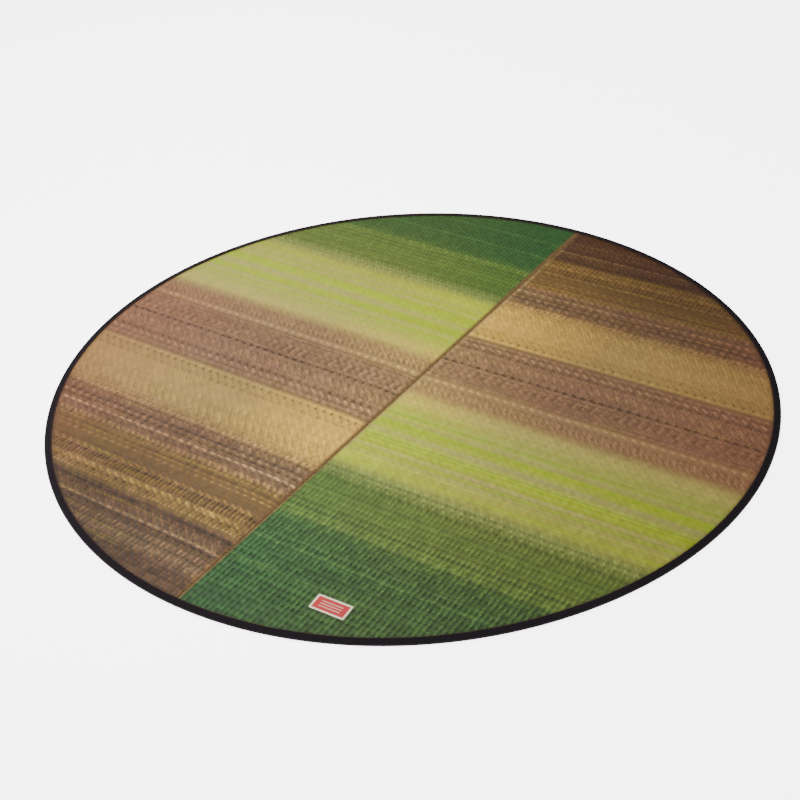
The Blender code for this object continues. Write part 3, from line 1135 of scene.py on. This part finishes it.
def edge_stitches(name, material):
    """The row of stitches that holds the tape's folded edge down, all the way round."""
    rng = np.random.default_rng(11)
    count = int(FULL_TURN * (RIM_RADII.mean() - EDGE_STITCH_INSET) / EDGE_STITCH_PITCH)
    angles = (np.arange(count) + rng.normal(0, 0.05, count)) * FULL_TURN / count
    radii = rim_radius(angles) - EDGE_STITCH_INSET + rng.normal(0, 0.15 * MM, count)
    level = np.full(count, RIM_HEIGHT - 0.42 * MM)
    places = np.column_stack([radii * np.cos(angles), radii * np.sin(angles), level])
    values = {
        "long": EDGE_STITCH_LENGTH * rng.normal(1, 0.06, count),
        "turn": angles + math.pi / 2 + rng.normal(0, 0.05, count),
    }
    return grown(name, places, values, STITCHES, material, Arch=1.0, Thickness=0.7 * MM)


def lacing(name, material):
    """Slanting stitches that draw the two selvedges together, from one binding to the other."""
    rng = np.random.default_rng(12)
    low, high = run_limits(-1, TAPE_WIDTH + 4 * MM)
    count = int((high - low) / LACE_PITCH)
    run = np.linspace(low, high, count) + rng.normal(0, 0.8 * MM, count)
    plan = JOIN_FOOT + run[:, None] * JOIN_RUN + rng.normal(0, 0.2 * MM, (count, 1)) * JOIN_ACROSS
    places = np.column_stack([plan, np.full(count, PANEL_TOP - 0.35 * MM)])
    values = {
        "long": LACE_LENGTH * rng.normal(1, 0.1, count),
        "turn": math.atan2(JOIN_RUN[1], JOIN_RUN[0]) - LACE_SLANT + rng.normal(0, 0.1, count),
    }
    return grown(name, places, values, STITCHES, material, Arch=1.1, Thickness=1.2 * MM)


def join_cord(name, material):
    """The flat cord laid in the join, a two-ply twist that fills it from one selvedge to the other."""
    low, high = run_limits(-1, 5 * MM)
    steps, sides = 580, 8
    cad_low, cad_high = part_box("join_thread")
    middle = (cad_low.z + cad_high.z) / 2 + 0.4 * MM
    vertices = []
    for here in np.linspace(low, high, steps):
        plan = JOIN_FOOT + here * JOIN_RUN
        twist = here / (5 * MM) * math.pi
        for k in range(sides):
            turn = FULL_TURN * k / sides
            radius = (0.62 + 0.08 * math.cos(2 * (turn - twist))) * MM
            across = JOIN_ACROSS * 2 * radius * math.cos(turn)
            vertices.append((*(plan + across), middle + 1.35 * radius * math.sin(turn)))
    first_end = tuple(range(sides))[::-1]
    last_end = tuple(range((steps - 1) * sides, steps * sides))
    made = new_object(name, vertices, [*tube_faces(steps, sides), first_end, last_end], material)
    face_outwards(made.data)
    return made


# ---- the label

LABEL_LENGTH, LABEL_DEPTH = 81 * MM, 41 * MM
LABEL_TURN = math.radians(2.0)
LABEL_MARGIN = 4.4 * MM  # of cream cloth round the red block
LABEL_CLOTH = 0.7 * MM  # its thickness
LABEL_SOFT = 0.3 * MM  # the block's edge blends over this much on either side
LABEL_LINES = (-7 * MM, 0.0, 7 * MM)  # the cream lines, below and above the label's middle
LABEL_LINE_HALF = (0.9 * MM, 1.6 * MM)  # half a line's width: its core, and with its soft edge
LABEL_LINE_ENDS = (24 * MM, 24.5 * MM)  # and where it ends, either way from the middle


def label_material(name):
    """Cream satin with a plain red block woven in, crossed by plain cream lines."""
    made, tree, shader = new_material(name)
    place = put(tree, "ShaderNodeTexCoord", out="Object")
    moved = put(tree, "ShaderNodeVectorMath", (place, tuple(LABEL_CENTRE)), operation="SUBTRACT")
    own = put(tree, "ShaderNodeMapping", {"Vector": moved, "Rotation": (0, 0, -LABEL_TURN)})
    x, y, _ = parts_of(own)
    weave = use_group(tree, COTTON, Vector=own, Thread=0.45 * MM)
    inside_x, inside_y = (
        remapped(part.maths("ABSOLUTE"), edge - LABEL_SOFT, edge + LABEL_SOFT, 1.0, 0.0)
        for part, edge in ((x, LABEL_LENGTH / 2 - LABEL_MARGIN), (y, LABEL_DEPTH / 2 - LABEL_MARGIN))
    )
    first, second, third = (
        remapped((y - height).maths("ABSOLUTE"), *LABEL_LINE_HALF, 0.5, 0.0) for height in LABEL_LINES
    )
    lines = first.maths("MAXIMUM", second).maths("MAXIMUM", third)
    short = remapped(x.maths("ABSOLUTE"), *LABEL_LINE_ENDS, 1.0, 0.0)
    block = inside_x * inside_y * (1.0 - lines * short)
    colour = blended(block, dye("fff0cf"), dye("c4141c"))
    finish = {
        "Base Color": dyed_weave(tree, weave, colour, (0.92, 1.04), (0.86, 1.03)),
        "Roughness": 0.6,
        "Normal": bumped(weave["Height"], 0.2 * MM, 0.6),
    }
    fill(shader, finish)
    return made


def label_point(layer, across_share, deep_share):
    """A point of the label's cloth, which lies in soft waves with raised hems and eased corners."""
    half_long, half_deep = LABEL_LENGTH / 2, LABEL_DEPTH / 2
    x = (across_share - 0.5) * LABEL_LENGTH
    y = (deep_share - 0.5) * LABEL_DEPTH
    corner = min(half_long - abs(x), 2 * MM), min(half_deep - abs(y), 2 * MM)
    ease = max(0.0, 2 * MM - math.hypot(*corner)) * 0.25
    x -= math.copysign(ease, x) if abs(x) > half_long - 2 * MM else 0
    y -= math.copysign(ease, y) if abs(y) > half_deep - 2 * MM else 0
    edge = min(half_long - abs(x), half_deep - abs(y))
    hem = 0.25 * MM * math.exp(-(((edge - 2.2 * MM) / (1.6 * MM)) ** 2))
    wave = 0.22 * MM * math.sin(x / (9 * MM)) * math.cos(y / (11 * MM))
    height = LABEL_LOW.z + 0.15 * MM + layer * LABEL_CLOTH + wave + hem * layer
    return Matrix.Rotation(LABEL_TURN, 3, "Z") @ Vector((x, y, 0)) + Vector((*LABEL_CENTRE.xy, height))


def label_object(name, material):
    """A thin woven label lying on the cloth."""
    across, deep = 42, 22
    vertices = [
        label_point(layer, i / across, j / deep)
        for layer in (0, 1)
        for j in range(deep + 1)
        for i in range(across + 1)
    ]
    grid = np.arange((deep + 1) * (across + 1)).reshape(deep + 1, across + 1)
    quads = np.stack([grid[:-1, :-1], grid[:-1, 1:], grid[1:, 1:], grid[1:, :-1]], -1).reshape(-1, 4)
    rim = np.concatenate([grid[0], grid[1:, -1], grid[-1, -2::-1], grid[-2:0:-1, 0]])
    beyond = np.roll(rim, -1)
    sides = np.stack([rim, beyond, beyond + grid.size, rim + grid.size], -1)
    faces = np.concatenate([quads, quads + grid.size, sides]).tolist()
    made = new_object(name, vertices, faces, material)
    face_outwards(made.data)
    made.data.set_sharp_from_angle(angle=math.radians(50))
    return made


def label_stitches(name, material):
    """One row of small stitches just inside the label's edge."""
    inset, pitch = 2.4 * MM, 3.4 * MM
    x, y = LABEL_LENGTH / 2 - inset, LABEL_DEPTH / 2 - inset
    corners = [Vector(corner) for corner in ((-x, -y), (x, -y), (x, y), (-x, y))]
    turn = Matrix.Rotation(LABEL_TURN, 2)
    spots, turns = [], []
    for start, end in zip(corners, corners[1:] + corners[:1]):
        run = end - start
        count = int(run.length / pitch)
        for i in range(count):
            spot = turn @ (start + run * ((i + 0.5) / count)) + LABEL_CENTRE.xy
            spots.append((*spot, LABEL_LOW.z + 1.0 * MM))
            turns.append(math.atan2(run.y, run.x) + LABEL_TURN)
    values = {"long": np.full(len(spots), 2.4 * MM), "turn": turns}
    return grown(name, np.array(spots), values, STITCHES, material, Arch=0.9, Thickness=0.45 * MM)


# ---- floor, light and camera

def floor_object():
    half, low = 8.0, -0.1 * MM
    made, tree, shader = new_material("pale floor")
    finish = {
        "Base Color": (0.9, 0.9, 0.9, 1),
        "Roughness": 0.9,
        "Emission Color": (1, 1, 1, 1),
        "Emission Strength": 5.0,
    }
    fill(shader, finish)
    corners = [(-half, -half, low), (half, -half, low), (half, half, low), (-half, half, low)]
    return new_object("floor", corners, [(0, 1, 2, 3)], made, smooth=False)


class Lamp(NamedTuple):
    """A soft studio lamp: where it hangs, its size across, its power and its tint."""

    name: str
    place: tuple
    size: float
    watts: float
    tint: tuple


LAMPS = (
    Lamp("key", (-0.7, -0.32, 1.7), 1.1, 50, (1.0, 0.99, 0.97)),
    Lamp("low side", (-2.4, 1.4, 1.3), 0.8, 18, (1.0, 0.99, 0.97)),
)
SKY = 0.45  # strength of the even white light all round


def light_the_room():
    for lamp in LAMPS:
        data = bpy.data.lights.new(lamp.name, "AREA")
        data.shape, data.size, data.energy, data.color = "DISK", lamp.size, lamp.watts, lamp.tint
        made = linked(lamp.name, data)
        made.location = lamp.place
        made.rotation_euler = (-Vector(lamp.place)).to_track_quat("-Z", "Y").to_euler()
    world = bpy.data.worlds.new("studio")
    world.use_nodes = True
    fill(world.node_tree.nodes["Background"], {"Color": (1, 1, 1, 1), "Strength": SKY})
    bpy.context.scene.world = world


VIEW_TURN = math.radians(34.15)
VIEW_RISE = math.radians(35.68)
VIEW_ROLL = math.radians(-3.45)
VIEW_DISTANCE = 3.128
VIEW_ASIDE, VIEW_UP = -0.0252, -0.0455  # the camera's own shift, across and up its picture
LENS, SENSOR = 57.6, 36.0  # millimetres


def place_camera():
    data = bpy.data.cameras.new("view")
    data.lens, data.sensor_width = LENS, SENSOR
    level = Vector((math.cos(VIEW_TURN), math.sin(VIEW_TURN), 0))
    flat = math.cos(VIEW_RISE)
    back = Vector((math.sin(VIEW_TURN) * flat, -math.cos(VIEW_TURN) * flat, math.sin(VIEW_RISE)))
    upward = back.cross(level)
    right = math.cos(VIEW_ROLL) * level + math.sin(VIEW_ROLL) * upward
    up = -math.sin(VIEW_ROLL) * level + math.cos(VIEW_ROLL) * upward
    axes = Matrix((right, up, back)).transposed().to_4x4()
    spot = back * VIEW_DISTANCE + right * VIEW_ASIDE + up * VIEW_UP + Vector((0, 0, PANEL_TOP))
    made = linked("view", data)
    made.matrix_world = Matrix.Translation(spot) @ axes
    bpy.context.scene.camera = made


# ---- putting it together

def take_place(piece, node):
    """The piece rides on the rug's one body; the CAD node it stands for, where there is one, is hidden."""
    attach(piece, "root")
    if node:
        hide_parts(node)


def sheet_area(side):
    """Plan area of a panel's cloth, in square metres."""
    low, high = run_limits(side, EDGE_INSET)
    run = np.linspace(low, high, 400)
    return float(np.trapz(reach_out(side, run, EDGE_INSET), run))


place_camera()
light_the_room()
floor_object()

navy = cotton_material("navy binding cloth", "120b13", 0.7 * MM, bump=0.3, roughness=0.9, tint=0.3)
brown_thread = cotton_material("rust stitching", "6b4430", 0.3 * MM)
dark_thread = cotton_material("dark lacing", "8a7250", 0.4 * MM)
cream_thread = cotton_material("cream stitching", "e8dcc2", 0.3 * MM, tint=0.1)

for side, word in ((-1, "left"), (1, "right")):
    rush = rush_material(f"dyed rush {word}", side)
    panel = panel_object(f"woven_rush_{word}", side, rush)
    take_place(panel, f"panel_{word}")
    figures = figures_object(f"raised_figures_{word}", side, rush)
    take_place(figures, None)
    area = sheet_area(side)
    low, high = run_limits(side, EDGE_INSET)
    width = float(reach_out(side, np.linspace(low, high, 200), EDGE_INSET).max())
    high - low

tape = tape_object("folded_binding", navy)
take_place(tape, "binding")
hem = edge_stitches("edge_stitches", brown_thread)
take_place(hem, None)

cord = join_cord("join_cord", dark_thread)
take_place(cord, "join_thread")
lace = lacing("join_lacing", dark_thread)
take_place(lace, None)

tag = label_object("woven_label", label_material("label cloth"))
take_place(tag, "label")
tag_stitches = label_stitches("label_stitches", cream_thread)
take_place(tag_stitches, None)
